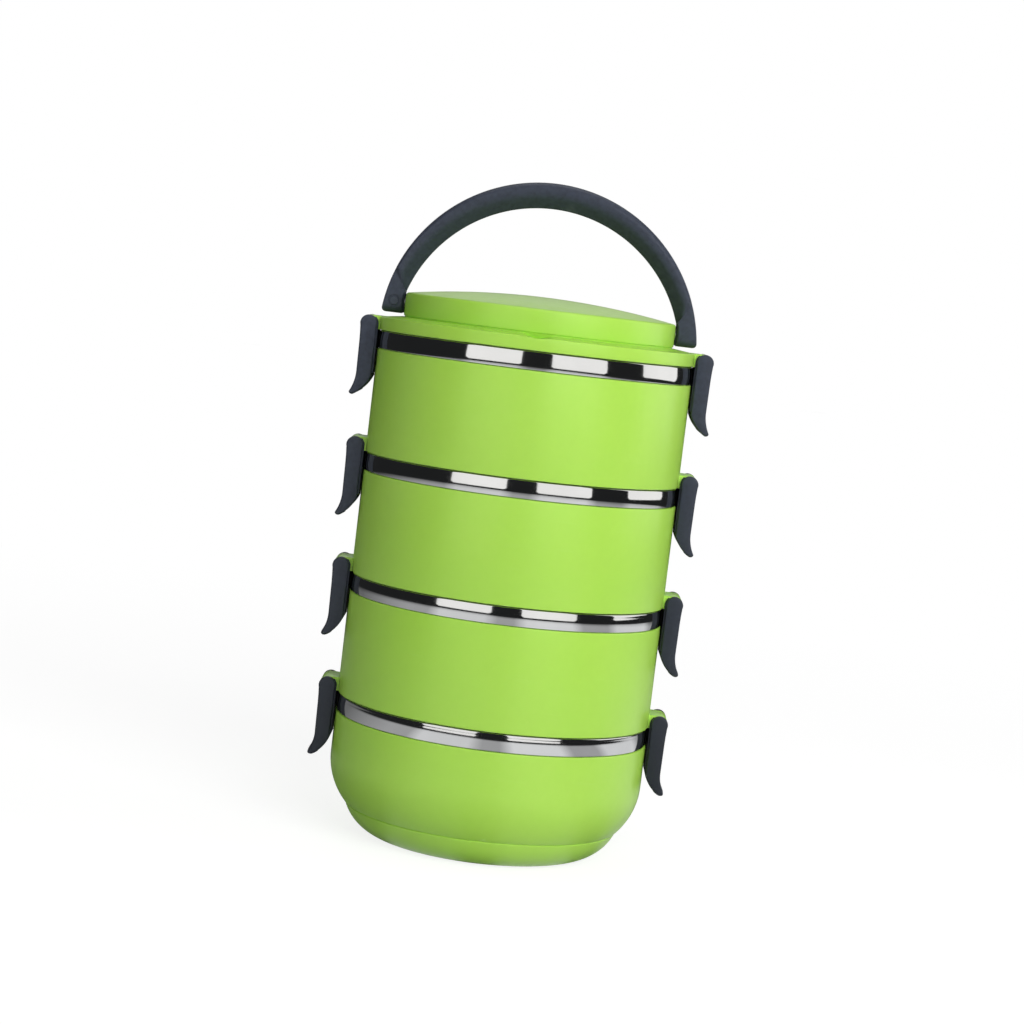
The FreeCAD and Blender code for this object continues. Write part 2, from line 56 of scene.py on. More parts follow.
CAMERA_PLACE = Vector((0.0, -1.18466, 0.25614))
CAMERA_LENS = 90.06
CAMERA_YAW = -0.0018
CAMERA_PITCH = -0.0843
CAMERA_ROLL = 0.1202


def add_camera():
    level = math.cos(CAMERA_PITCH)
    forward = Vector((math.sin(CAMERA_YAW) * level, math.cos(CAMERA_YAW) * level,
                      math.sin(CAMERA_PITCH)))
    right = Vector((math.cos(CAMERA_YAW), -math.sin(CAMERA_YAW), 0.0))
    up = right.cross(forward)
    turn_cos, turn_sin = math.cos(CAMERA_ROLL), math.sin(CAMERA_ROLL)
    across = turn_cos * right + turn_sin * up
    upward = -turn_sin * right + turn_cos * up
    data = bpy.data.cameras.new("photo_camera")
    data.lens = CAMERA_LENS
    data.sensor_width = 36.0
    data.clip_start = 0.05
    data.clip_end = 50.0
    camera = bpy.data.objects.new("photo_camera", data)
    bpy.context.scene.collection.objects.link(camera)
    axes = Matrix((across, upward, -forward)).transposed().to_4x4()
    camera.matrix_world = Matrix.Translation(CAMERA_PLACE) @ axes
    bpy.context.scene.camera = camera


add_camera()


# ---------------------------------------------------------------- meshes

def new_object(name, verts, faces):
    mesh = bpy.data.meshes.new(name)
    mesh.from_pydata(verts, [], faces)
    mesh.validate()
    mesh.shade_smooth()
    piece = bpy.data.objects.new(name, mesh)
    bpy.context.scene.collection.objects.link(piece)
    return piece


def arc(start, middle, end, steps):
    """Points of the arc through three points, without its last point."""
    (ax, ay), (bx, by), (cx, cy) = start, middle, end
    d = 2 * (ax * (by - cy) + bx * (cy - ay) + cx * (ay - by))
    ux = ((ax * ax + ay * ay) * (by - cy) + (bx * bx + by * by) * (cy - ay)
          + (cx * cx + cy * cy) * (ay - by)) / d
    uy = ((ax * ax + ay * ay) * (cx - bx) + (bx * bx + by * by) * (ax - cx)
          + (cx * cx + cy * cy) * (bx - ax)) / d
    radius = math.hypot(ax - ux, ay - uy)
    first = math.atan2(ay - uy, ax - ux)
    through = math.atan2(by - uy, bx - ux)
    last = math.atan2(cy - uy, cx - ux)
    span = (last - first) % math.tau
    if (through - first) % math.tau > span:
        span -= math.tau
    return [(ux + radius * math.cos(first + span * i / steps),
             uy + radius * math.sin(first + span * i / steps)) for i in range(steps)]


def soften(points, closed, steps=5):
    """Round the corners of an outline.  A point is (x, y) or (x, y, radius)."""
    count = len(points)
    result = []
    for i, point in enumerate(points):
        radius = point[2] if len(point) > 2 else 0.0
        inner = closed or 0 < i < count - 1
        if not radius or not inner:
            result.append((point[0], point[1]))
            continue
        here = Vector(point[:2])
        before = Vector(points[i - 1][:2]) - here
        after = Vector(points[(i + 1) % count][:2]) - here
        angle = before.angle(after)
        reach = radius / math.tan(angle / 2)
        reach = min(reach, before.length * 0.48, after.length * 0.48)
        a = here + before.normalized() * reach
        b = here + after.normalized() * reach
        for step in range(steps + 1):
            t = step / steps
            # circular arc approximated by its rational quadratic
            w = math.sin(angle / 2)
            k = (1 - t) ** 2 + 2 * w * t * (1 - t) + t * t
            spot = (a * (1 - t) ** 2 + here * (2 * w * t * (1 - t)) + b * t * t) / k
            result.append((spot.x, spot.y))
    return result


def lathe(name, outline, angles, height, closed=False):
    """Turn an outline of (radius, z) in mm about the vertical axis.  An open outline
    starts and ends on the axis."""
    count = len(angles)
    verts, rings = [], []
    for radius, z in outline:
        if radius < 1e-6:
            rings.append([len(verts)] * count)
            verts.append((0.0, 0.0, height + z * MM))
            continue
        rings.append(list(range(len(verts), len(verts) + count)))
        for angle in angles:
            verts.append((radius * MM * math.cos(angle), radius * MM * math.sin(angle),
                          height + z * MM))
    faces = []
    pairs = list(zip(rings, rings[1:]))
    if closed:
        pairs.append((rings[-1], rings[0]))
    for low, high in pairs:
        for i in range(count):
            j = (i + 1) % count
            face = []
            for index in (low[i], low[j], high[j], high[i]):
                if index not in face:
                    face.append(index)
            if len(face) > 2:
                faces.append(face)
    piece = new_object(name, verts, faces)
    face_outward(piece)
    return piece


def face_outward(piece):
    cage = bmesh.new()
    cage.from_mesh(piece.data)
    bmesh.ops.recalc_face_normals(cage, faces=cage.faces)
    cage.to_mesh(piece.data)
    cage.free()


def combine(piece, other, operation):
    """Boolean with another object, which is then removed."""
    step = piece.modifiers.new("cut", "BOOLEAN")
    step.operation = operation
    step.object = other
    step.solver = "EXACT"
    apply_modifiers(piece)
    bpy.data.objects.remove(other)


def apply_modifiers(piece):
    graph = bpy.context.evaluated_depsgraph_get()
    mesh = bpy.data.meshes.new_from_object(piece.evaluated_get(graph))
    old = piece.data
    piece.modifiers.clear()
    piece.data = mesh
    mesh.name = piece.name
    bpy.data.meshes.remove(old)


def crisp(piece, degrees):
    """Smooth shading that breaks only at corners sharper than this."""
    piece.data.shade_smooth()
    piece.data.set_sharp_from_angle(angle=math.radians(degrees))


EVEN = [math.tau * i / 288 for i in range(288)]


# ---------------------------------------------------------------- nodes

class Nodes:
    """A material's node tree, with short calls to add and join nodes."""

    def __init__(self, name):
        self.material = bpy.data.materials.new(name)
        self.material.use_nodes = True
        self.tree = self.material.node_tree
        self.tree.nodes.clear()
        self.output = self.add("ShaderNodeOutputMaterial")
        self.shader = self.add("ShaderNodeBsdfPrincipled")
        self.tree.links.new(self.shader.outputs[0], self.output.inputs[0])
        self.place = self.add("ShaderNodeTexCoord").outputs["Object"]

    def add(self, kind, *links, **values):
        node = self.tree.nodes.new(kind)
        for name, value in values.items():
            setattr(node, name, value)
        for slot_name, source in links:
            self.put(node, slot_name, source)
        return node

    def put(self, node, slot_name, source):
        target = node.inputs[slot_name]
        if isinstance(source, bpy.types.NodeSocket):
            self.tree.links.new(source, target)
        else:
            target.default_value = source

    def set(self, **values):
        for name, value in values.items():
            self.put(self.shader, name.replace("_", " "), value)

    def math(self, operation, a, b=0.0, c=0.0):
        node = self.add("ShaderNodeMath", (0, a), (1, b), (2, c), operation=operation)
        return node.outputs[0]

    def noise(self, scale, detail=3.0, vector=None, roughness=0.5):
        node = self.add("ShaderNodeTexNoise", ("Vector", vector or self.place),
                        ("Scale", scale), ("Detail", detail), ("Roughness", roughness))
        return node.outputs["Fac"]

    def stretch(self, scale):
        node = self.add("ShaderNodeVectorMath", (0, self.place), (1, scale), operation="MULTIPLY")
        return node.outputs[0]

    def span(self, source, low, high, to_low=0.0, to_high=1.0):
        node = self.add("ShaderNodeMapRange", ("Value", source), ("From Min", low),
                        ("From Max", high), ("To Min", to_low), ("To Max", to_high))
        return node.outputs["Result"]

    def mix(self, fac, a, b):
        node = self.add("ShaderNodeMix", ("Factor", fac), data_type="RGBA")
        self.put(node, 6, a)
        self.put(node, 7, b)
        return node.outputs[2]

    def bump(self, height, distance, strength=1.0, before=None):
        node = self.add("ShaderNodeBump", ("Height", height), ("Distance", distance),
                        ("Strength", strength))
        if before is not None:
            self.put(node, "Normal", before)
        return node.outputs[0]

    def edges(self, low=0.52, high=0.60):
        """1 on sharp outer edges, 0 on flat and hollow ground."""
        worn = self.add("ShaderNodeNewGeometry").outputs["Pointiness"]
        return self.span(worn, low, high)


def moulded_green():
    n = Nodes("green_plastic")
    broad = n.noise(11.0, 2.0)
    mottle = n.noise(240.0, 4.0)
    tone = n.mix(n.span(broad, 0.3, 0.7), (0.405, 0.735, 0.078, 1), (0.445, 0.760, 0.100, 1))
    fleck = n.mix(n.span(mottle, 0.35, 0.68, 0.0, 0.12), tone, (0.36, 0.68, 0.06, 1))
    scuff = n.noise(46.0, 5.0, n.stretch((1.0, 1.0, 7.0)), 0.6)
    scuffed = n.span(scuff, 0.60, 0.78, 0.0, 0.05)
    worn = n.math("MULTIPLY", n.edges(), 0.28)
    pale = n.mix(n.math("ADD", scuffed, worn), fleck, (0.60, 0.86, 0.30, 1))
    rough = n.span(broad, 0.25, 0.75, 0.29, 0.33)
    rough = n.math("ADD", rough, n.math("MULTIPLY", scuffed, 0.9))
    rough = n.math("ADD", rough, n.span(mottle, 0.3, 0.7, -0.02, 0.03))
    grain = n.bump(n.noise(2400.0, 2.0), 0.000012, 0.40)
    sink = n.bump(n.noise(22.0, 1.0), 0.00030, 0.05, grain)
    n.set(Base_Color=pale, Roughness=rough, Normal=sink, IOR=1.47, Specular_IOR_Level=0.50)
    n.set(Subsurface_Weight=0.06, Subsurface_Radius=(0.6, 1.0, 0.2), Subsurface_Scale=0.002)
    return n.material


def slate_plastic():
    n = Nodes("slate_plastic")
    height = n.add("ShaderNodeSeparateXYZ", (0, n.place)).outputs[2]
    # painted light and shade: the slate is darker low down and lighter high up, as the light falls
    # from above
    painted_height_light = n.span(height, 0.04, 0.25)
    broad = n.noise(26.0, 2.0)
    mottle = n.noise(520.0, 4.0)
    tone = n.mix(painted_height_light, (0.009, 0.012, 0.018, 1), (0.036, 0.044, 0.068, 1))
    tone = n.mix(n.span(broad, 0.3, 0.7, 0.0, 0.3), tone, (0.030, 0.036, 0.050, 1))
    fleck = n.mix(n.span(mottle, 0.40, 0.72, 0.0, 0.4), tone, (0.012, 0.015, 0.022, 1))
    rub = n.noise(90.0, 5.0, None, 0.6)
    rubbed = n.math("MULTIPLY", n.edges(), n.span(rub, 0.35, 0.7, 0.15, 0.55))
    pale = n.mix(rubbed, fleck, (0.085, 0.098, 0.125, 1))
    rough = n.span(rub, 0.3, 0.7, 0.40, 0.52)
    pits = n.bump(n.noise(1900.0, 3.0), 0.00003, 0.7)
    n.set(Base_Color=pale, Roughness=rough, Normal=pits, IOR=1.48, Specular_IOR_Level=0.42)
    return n.material


def steel(name, base, polished):
    """Stainless steel.  Polished steel is a mirror on the rim's band and satin, with
    fine turned lines, inside the bowl."""
    n = Nodes(name)
    parts = n.add("ShaderNodeSeparateXYZ", (0, n.place)).outputs
    radius = n.math("SQRT", n.math("ADD", n.math("MULTIPLY", parts[0], parts[0]),
                                   n.math("MULTIPLY", parts[1], parts[1])))
    turn = n.math("ARCTAN2", parts[1], parts[0])
    lines = n.add("ShaderNodeCombineXYZ", (0, n.math("MULTIPLY", turn, 0.02)),
                  (1, radius), (2, parts[2])).outputs[0]
    fine = n.noise(5200.0, 3.0, lines, 0.6)
    coarse = n.noise(900.0, 2.0, lines)
    smear = n.noise(60.0, 3.0)
    if polished:
        inside = n.span(radius, 0.0716, 0.0707)
        rough = n.add("ShaderNodeMix", ("Factor", inside), data_type="FLOAT")
        n.put(rough, 2, n.span(smear, 0.3, 0.7, 0.045, 0.075))
        n.put(rough, 3, n.span(coarse, 0.3, 0.7, 0.17, 0.27))
        rough = rough.outputs[0]
        depth = n.math("MULTIPLY", n.math("ADD", inside, 0.03), 0.25)
    else:
        rough = n.span(coarse, 0.3, 0.7, 0.25, 0.36)
        depth = 0.35
    lustre = n.mix(n.span(smear, 0.3, 0.7), base, tuple(0.93 * c for c in base[:3]) + (1,))
    line_bump = n.add("ShaderNodeBump", ("Height", fine), ("Distance", 0.00001))
    n.put(line_bump, "Strength", depth)
    n.set(Base_Color=lustre, Roughness=rough, Normal=line_bump.outputs[0], Metallic=1.0)
    return n.material


def soft_silicone():
    n = Nodes("silicone")
    cloud = n.noise(70.0, 3.0)
    tone = n.mix(cloud, (0.70, 0.72, 0.70, 1), (0.80, 0.81, 0.79, 1))
    rough = n.span(n.noise(300.0, 3.0), 0.3, 0.7, 0.45, 0.62)
    skin = n.bump(n.noise(1500.0, 2.0), 0.00002, 0.5)
    n.set(Base_Color=tone, Roughness=rough, Normal=skin, IOR=1.42)
    n.set(Subsurface_Weight=0.35, Subsurface_Radius=(1.0, 1.0, 0.9), Subsurface_Scale=0.003)
    return n.material


GREEN = moulded_green()
SLATE = slate_plastic()
BAND_STEEL = steel("polished_steel", (0.60, 0.595, 0.585, 1), True)
PIN_STEEL = steel("pin_steel", (0.62, 0.61, 0.60, 1), False)
SILICONE = soft_silicone()


def paint(piece, material):
    piece.data.materials.clear()
    piece.data.materials.append(material)


# ---------------------------------------------------------------- measures, in mm

RIMS = {tier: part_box("steel_bowl_%d" % tier)[1].z for tier in range(1, TIERS + 1)}
PITCH = (RIMS[2] - RIMS[1]) / MM
BASE = RIMS[1] / MM
PIVOTS = {joint["name"]: Vector(joint["pos_m"]) for joint in frame["joints"] if "pos_m" in joint}
WALL = 72.8
LIP = 71.3
SHELL_BORE = 69.8
BAND = 8.2
SHEET = 0.8
SLIT = 0.22             # gap between a skirt and the rim below it
PLUG = 66.7             # outer radius of the plug that enters the bowl below
PLUG_BORE = 64.5
PLUG_DROP = 6.0
SEAT_OUT, SEAT_UP = 71.0, 1.9
EAR_HALF = 9.0
EAR_BACK, EAR_LOW, EAR_TOP = -6.4, -2.4, 3.85
EAR_NOSE = 3.07
CORNER, CORNER_TOP = 31.5, 35.8
CREASE = 14.2
CREASE_STEP = 0.55
CREASE_DEEP, CREASE_LOW, CREASE_HIGH = 0.4, 0.7, 0.2
FOOT_IN, FOOT_OUT = 39.5, 44.5
FOOT_BULGE = (58.2, 5.5)
RECESS_OUT, RECESS_UP = 37.9, 1.6
FLOOR_UP = 4.0
INNER_CORNER, INNER_CUT = 30.0, 8.79


# ---------------------------------------------------------------- shells and bowls

def lip_outline():
    """Outer top of a shell: the wall, the ledge under the band, and the lip."""
    return [(WALL, -BAND - 0.2, 0.55), (LIP, -BAND - 0.2, 0.2), (LIP, -SHEET, 0.25),
            (SHELL_BORE, -SHEET, 0.3)]


def skirt_outline(joint):
    """Plug, seal seat and the inner edge of the skirt over the rim below."""
    return [(PLUG, joint - PLUG_DROP, 1.5), (PLUG, joint + SEAT_UP, 0.2),
            (SEAT_OUT, joint + SEAT_UP, 0.2), (SEAT_OUT, joint + SLIT, 0.25)]


def add_ears(piece, tier):
    """The two hinge ears for the latches that close on the tier below."""
    for side, sign in (("right", 1), ("left", -1)):
        pivot = PIVOTS["latch_%s_%d_hinge" % (side, tier)]
        nose = arc((0.62, EAR_TOP), (3.9, 0.0), (EAR_NOSE, EAR_LOW), 14)
        outline = [(EAR_BACK, EAR_LOW), (EAR_BACK, EAR_TOP)] + nose + [(EAR_NOSE, EAR_LOW)]
        ear = slab("ear", outline, EAR_HALF, 0.5)
        place_on(ear, pivot, sign)
        combine(piece, ear, "UNION")


def slab(name, outline, half, rounding, across=(0.0,), steps=4):
    """Clockwise outline of (x, z) extruded along Y to both sides, with rounded edges."""
    count = len(outline)
    inward = []
    for i in range(count):
        here = Vector(outline[i])
        before = (here - Vector(outline[i - 1])).normalized()
        after = (Vector(outline[(i + 1) % count]) - here).normalized()
        a, b = Vector((before.y, -before.x)), Vector((after.y, -after.x))
        mean = (a + b).normalized()
        inward.append(mean / max(mean.dot(a), 0.35))
    turns = [math.pi / 2 * step / steps for step in range(steps, -1, -1)]
    edge = [(-half + rounding * (1 - math.sin(turn)), rounding * (1 - math.cos(turn)))
            for turn in turns]
    full = edge + [(y, 0.0) for y in across] + [(-y, inset) for y, inset in edge[::-1]]
    verts, faces = [], []
    for y, inset in full:
        for (x, z), normal in zip(outline, inward):
            verts.append(((x + normal.x * inset) * MM, y * MM, (z + normal.y * inset) * MM))
    for row in range(len(full) - 1):
        for i in range(count):
            j = (i + 1) % count
            faces.append((row * count + i, row * count + j,
                          (row + 1) * count + j, (row + 1) * count + i))
    faces.append(list(range(count)))
    last = (len(full) - 1) * count
    faces.append(list(range(last, last + count)))
    piece = new_object(name, verts, faces)
    face_outward(piece)
    return piece


def place_on(piece, pivot, sign):
    """Put a piece made about the origin, facing +X, at a pivot on either side."""
    turn = Matrix.Rotation(0.0 if sign > 0 else math.pi, 4, "Z")
    piece.data.transform(Matrix.Translation(pivot) @ turn)


def upper_shell(tier):
    joint = -PITCH
    floor, ledge = joint - 4.0, joint + 4.1
    outline = [(0.0, joint - PLUG_DROP)] + skirt_outline(joint) + [(WALL, joint + SLIT, 0.6)]
    outline += lip_outline()
    outline += [(SHELL_BORE, ledge, 0.8), (PLUG_BORE, ledge, 0.6), (PLUG_BORE, floor, 1.2),
                (0.0, floor)]
    name = "shell_%d" % tier
    piece = lathe(name, soften(outline, False), EVEN, RIMS[tier])
    add_ears(piece, tier - 1)
    crisp(piece, 32)
    return piece


def bottom_shell():
    centre = WALL - CORNER
    drop = CORNER_TOP - CREASE
    crease_out = centre + math.sqrt(CORNER ** 2 - drop ** 2)
    half_out = centre + math.sqrt(CORNER ** 2 - drop ** 2 / 4)
    step_out, step_up = crease_out - CREASE_STEP, CREASE - CREASE_LOW - BASE
    foot = arc((FOOT_OUT, -BASE), (FOOT_BULGE[0], FOOT_BULGE[1] - BASE), (step_out, step_up), 18)
    side = arc((crease_out, CREASE - BASE), (half_out, (CORNER_TOP + CREASE) / 2 - BASE),
               (WALL, CORNER_TOP - BASE), 18)
    floor = FLOOR_UP - BASE
    floor_out = SHELL_BORE - INNER_CORNER
    inner = arc((SHELL_BORE, floor + INNER_CORNER), (SHELL_BORE - INNER_CUT, floor + INNER_CUT),
                (floor_out, floor), 14)
    outline = [(0.0, RECESS_UP - BASE), (RECESS_OUT, RECESS_UP - BASE, 0.6),
               (FOOT_IN, -BASE, 0.4), (FOOT_OUT, -BASE, 1.2)] + foot[1:]
    outline += [(step_out, step_up, 0.2),
                (step_out - CREASE_DEEP, CREASE - CREASE_HIGH - BASE, 0.2),
                (crease_out, CREASE - BASE + 0.02, 0.3)] + side[1:]
    outline += [(WALL, CORNER_TOP - BASE)] + lip_outline() + inner
    outline += [(floor_out, floor), (0.0, floor)]
    piece = lathe("shell_1", soften(outline, False), EVEN, RIMS[1])
    crisp(piece, 40)
    return piece


def steel_bowl(tier):
    """Pressed bowl: rounded rim folded out and down into the polished band."""
    edge, middle, bore, straight, corner = 72.35, 72.6, 67.5, 24.5, 31.2
    depth = straight + corner
    bend = corner * (1 - math.sqrt(0.5))
    skin = corner + SHEET
    skin_bend = skin * (1 - math.sqrt(0.5))
    skin_out, skin_low = bore + SHEET, -straight - skin
    floor_out = bore - corner
    top, fold = edge - 0.02, edge - SHEET
    inside = arc((floor_out, -depth), (bore - bend, -depth + bend), (bore, -straight), 20)
    band = arc((top, -0.9), (middle, -BAND / 2), (edge, -BAND), 14)
    outside = arc((skin_out, -straight), (skin_out - skin_bend, skin_low + skin_bend),
                  (floor_out, skin_low), 20)
    outline = [(0.0, -depth)] + inside + [(bore, -straight), (bore, 0.0, 0.9), (top, 0.0, 0.9)]
    outline += band[1:] + [(edge, -BAND, 0.3), (fold, -BAND, 0.3), (fold, -SHEET, 0.3),
                           (skin_out, -SHEET, 0.3)]
    outline += outside + [(floor_out, skin_low), (0.0, skin_low)]
    piece = lathe("bowl_%d" % tier, soften(outline, False, 6), EVEN, RIMS[tier])
    crisp(piece, 45)
    return piece


# ---------------------------------------------------------------- lid

DISC = 62.5
DISC_EDGE = 18.3
DOME_MIDDLE, DOME_RISE = 4.05, 5.4      # above the disc's edge, half way in and at the centre
ROOF = 2.4
LIP_OUT = DISC + 0.75
LIP_UP = 7.31
FLANGE = 6.1
FLANGE_ROOT = 7.4
LID_WALL = 72.9
SCOOP_HALF = 7.6
SCOOP_DEEP = 1.9
GROOVE = 0.5
SCOOP_UNDERCUT = 1.5
SCOOP_REACH = 12.5


def lid():
    dome = arc((DISC, DISC_EDGE), (DISC / 2, DISC_EDGE + DOME_MIDDLE),
               (0.0, DISC_EDGE + DOME_RISE), 28)
    inner, under, ledge = DISC - ROOF, DISC_EDGE - ROOF, FLANGE_ROOT - ROOF
    roof = arc((0.0, under + DOME_RISE), (inner / 2, under + DOME_MIDDLE), (inner, under), 12)
    steps = 14
    slope = [(LID_WALL + (LIP_OUT - LID_WALL) * i / steps,
              FLANGE + (LIP_UP - FLANGE) * i / steps) for i in range(1, steps)]
    outline = roof + [(inner, under, 1.2), (inner, ledge, 0.6), (PLUG_BORE, ledge, 0.6),
                      (PLUG_BORE, -PLUG_DROP, 0.4)]
    outline += skirt_outline(0.0)
    outline += [(LID_WALL, SLIT, 0.6), (LID_WALL, 3.0), (LID_WALL, FLANGE, 0.9)]
    outline += slope
    groove, groove_low = DISC - GROOVE, FLANGE_ROOT - 0.5
    outline += [(LIP_OUT, LIP_UP, 0.2), (DISC + 0.62, groove_low, 0.2),
                (groove, groove_low, 0.25), (groove, FLANGE_ROOT + 0.35, 0.2),
                (DISC, FLANGE_ROOT + 0.75, 0.2), (DISC, DISC_EDGE - 4.0),
                (DISC, DISC_EDGE, 1.5)]
    outline += dome[1:] + [(0.0, DISC_EDGE + DOME_RISE)]
    front = -math.pi / 2
    near = math.radians(9.0)
    fine = [front - near + 2 * near * i / 60 for i in range(61)]
    coarse = 268
    rest = [front + near + (math.tau - 2 * near) * i / coarse for i in range(1, coarse)]
    piece = lathe("lid", soften(outline, False), fine + rest, RIMS[TIERS])
    dip_scoop(piece)
    add_ears(piece, TIERS)
    crisp(piece, 32)
    return piece


def dip_scoop(piece):
    """Soft thumb dip in the flange at the front, against the foot of the disc."""
    joint = RIMS[TIERS]
    for vert in piece.data.vertices:
        x, y, z = vert.co.x / MM, vert.co.y / MM, (vert.co.z - joint) / MM
        radius = math.hypot(x, y)
        on_flange = 4.5 < z < FLANGE_ROOT + 0.05 and radius >= DISC - GROOVE - 0.1
        if y > 0 or abs(x) > SCOOP_HALF or not on_flange:
            continue
        across = math.cos(math.pi / 2 * x / SCOOP_HALF) ** 1.6
        outward = min(1.0, max(0.0, 1 - (radius - DISC) / SCOOP_REACH)) ** 0.8
        vert.co.z -= SCOOP_DEEP * across * outward * MM
        if radius < DISC - GROOVE / 2:
            undercut = 1 - SCOOP_UNDERCUT * across / radius
            vert.co.x *= undercut
            vert.co.y *= undercut
    piece.data.update()


# ---------------------------------------------------------------- handle

HINGE_UP = 14.1
FOOT = 8.6
OUTER, OUTER_UP = 73.3, 2.5
PALM, PALM_UP = 65.9, -1.7
END_INNER = 63.4
END_HALF, GRIP_HALF = 5.2, 7.0
END_SOFT = 0.7
BEVEL = 5.5
RING_OUT = 67.6


def outer_at(z):
    return math.sqrt(OUTER ** 2 - (z - OUTER_UP) ** 2)


def palm_at(z):
    return min(END_INNER, math.sqrt(PALM ** 2 - (z - PALM_UP) ** 2))


def blend(a, b, t):
    return a + (b - a) * t


def handle_stations():
    """Right half, foot to crown: (inner point, outer point, half depth, inner bevel,
    outer rounding) in mm above the lid's joint."""
    stations = []
    cut_in, cut_out = HINGE_UP + 4.6, HINGE_UP + 14.2
    end_in, end_out = HINGE_UP + 10.8, HINGE_UP + 15.4
    rises = (0.0, 0.08, 0.25, 0.5, 0.9, 1.4, 2.0, 2.7, 3.4)
    for rise in rises:
        half = END_HALF - 3.4 + math.sqrt(3.4 ** 2 - (3.4 - rise) ** 2)
        corner = max(2.0 - rise, 0.0)
        out = outer_at(FOOT + rise) - 2.0 + math.sqrt(4.0 - corner ** 2)
        stations.append(((END_INNER, FOOT + rise), (out, FOOT + rise), half, END_SOFT, END_SOFT))
    top = FOOT + rises[-1]
    flat_steps = 12
    for i in range(1, flat_steps + 1):
        t = i / flat_steps
        z_in, z_out = blend(top, cut_in, t), blend(top, cut_out, t)
        stations.append(((palm_at(z_in), z_in), (outer_at(z_out), z_out), END_HALF,
                         END_SOFT, END_SOFT))
    facet_steps = 5
    for i in range(facet_steps + 1):
        t = i / facet_steps
        z_in, z_out = blend(cut_in + 0.15, end_in, t), blend(cut_out + 0.12, end_out, t)
        stations.append(((palm_at(z_in), z_in), (outer_at(z_out), z_out),
                         blend(END_HALF + 0.05, GRIP_HALF, t ** 0.7), blend(3.8, BEVEL, t),
                         blend(0.8, 4.4, t)))
    first_in = math.asin((end_in + 0.3 - PALM_UP) / PALM)
    first_out = math.asin((end_out + 0.3 - OUTER_UP) / OUTER)
    grip_steps = 46
    for i in range(grip_steps + 1):
        t = i / grip_steps
        a, b = blend(first_in, math.pi / 2, t), blend(first_out, math.pi / 2, t)
        stations.append(((PALM * math.cos(a), PALM_UP + PALM * math.sin(a)),
                         (OUTER * math.cos(b), OUTER_UP + OUTER * math.sin(b)),
                         GRIP_HALF, BEVEL, 4.6))
    return stations


def handle_section(station, sign, lift):
    """Closed loop of points around one station."""
    (x_in, z_in), (x_out, z_out), half, bevel, rounding = station
    thick = math.hypot(x_out - x_in, z_out - z_in)
    soft = 0.9 + bevel if bevel > 1.0 else END_SOFT
    loop = soften([(0.0, -half + bevel, 0.9), (bevel, -half, soft), (thick, -half, rounding),
                   (thick, half, rounding), (bevel, half, soft), (0.0, half - bevel, 0.9)],
                  True, 8)
    points = []
    for depth, side in loop:
        share = depth / thick
        points.append((sign * blend(x_in, x_out, share) * MM, side * MM,
                       lift + blend(z_in, z_out, share) * MM))
    return points


def handle():
    lift = RIMS[TIERS]
    half = handle_stations()
    rows = [handle_section(s, 1, lift) for s in half]
    rows += [handle_section(s, -1, lift) for s in half[:-1][::-1]]
    count = len(rows[0])
    verts = [point for row in rows for point in row]
    faces = []
    for r in range(len(rows) - 1):
        for i in range(count):
            j = (i + 1) % count
            faces.append((r * count + i, r * count + j, (r + 1) * count + j, (r + 1) * count + i))
    faces.append(list(range(count)))
    faces.append(list(range((len(rows) - 1) * count, len(rows) * count)))
    piece = new_object("bail", verts, faces)
    face_outward(piece)
    for sign in (1, -1):
        # dark spacer between each handle end and the disc wall, set back in the gap so that the gap
        # reads as shade
        near, far, low, high = DISC + 0.18, END_INNER + 0.5, FOOT + 0.35, HINGE_UP + 4.2
        gap_shade_spacer = slab("gap_shade_spacer", [(near, low), (near, high), (far, high), (far, low)], 2.6, 0.3)
        place_on(gap_shade_spacer, Vector((0.0, 0.0, lift)), sign)
        combine(piece, gap_shade_spacer, "UNION")
        bore = rod("bore", 2.05, 60.0, 70.9, sign, lift + HINGE_UP * MM)
        combine(piece, bore, "DIFFERENCE")
    ring = lathe("ring", soften([(1.9, -0.6, 0.2), (2.9, -0.6, 0.1), (2.9, 1.0), (1.9, 1.0)], True),
                 EVEN[::3], 0.0, closed=True)
    spot = Vector((-RING_OUT * MM, -END_HALF * MM, lift + HINGE_UP * MM))
    ring.data.transform(Matrix.Translation(spot) @ Matrix.Rotation(math.pi / 2, 4, "X"))
    combine(piece, ring, "DIFFERENCE")
    crisp(piece, 30)
    return piece


def rod(name, radius, start, end, sign, height):
    """Round bar along X, to cut with."""
    count = 64
    verts, faces = [], []
    for x in (start, end):
        for i in range(count):
            turn = math.tau * i / count
            verts.append((sign * x * MM, radius * MM * math.cos(turn),
                          height + radius * MM * math.sin(turn)))
    for i in range(count):
        j = (i + 1) % count
        faces.append((i, j, count + j, count + i))
    faces += [list(range(count)), list(range(count, 2 * count))]
    piece = new_object(name, verts, faces)
    face_outward(piece)
    return piece


# ---------------------------------------------------------------- latches

LATCH_HALF = 12.5
WINDOW_HALF = 9.3
# the dark ribs behind the cheeks that stand in for shade in the gap to the wall: place across and
# how proud of the back
RIB_PLACE, RIB_PROUD = 10.1, 0.62


